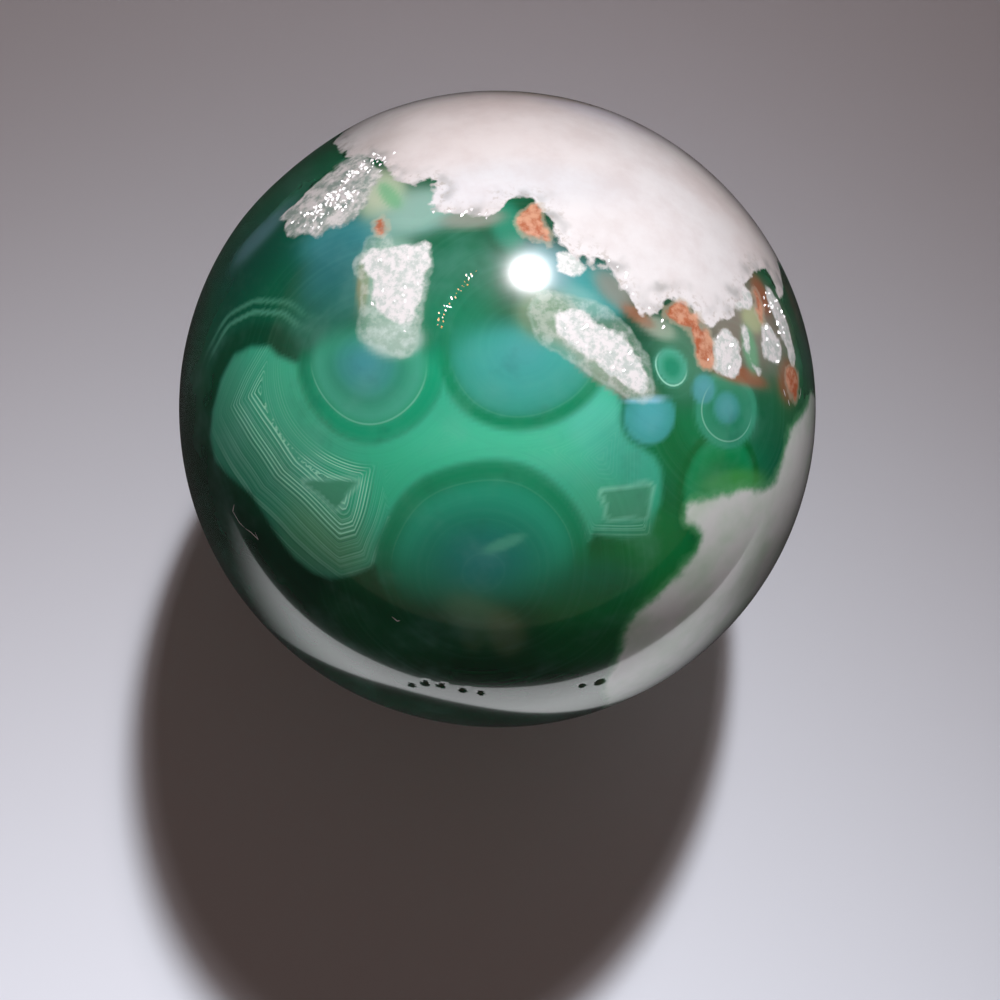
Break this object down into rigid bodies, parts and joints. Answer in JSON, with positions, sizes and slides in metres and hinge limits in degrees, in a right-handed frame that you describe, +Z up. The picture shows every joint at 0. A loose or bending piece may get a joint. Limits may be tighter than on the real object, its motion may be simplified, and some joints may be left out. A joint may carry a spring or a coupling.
{
  "type": "flower agate sphere",
  "caption": "Polished ball of flower agate in one solid piece, with green banded chalcedony, white mineral flowers and a pale cap. It sits in a ring stand.",
  "frame": {"origin": "centre of the ball", "axes": "+Z up, out of the side that shows the bands and flowers. -Y towards that side's pitted edge, +X to the right of it."},
  "size_m": [0.06, 0.06, 0.06],
  "materials": {
    "polished_agate": "polished"
  },
  "bodies": {
    "root": {"agate_sphere": "polished_agate"}
  },
  "joints": []
}
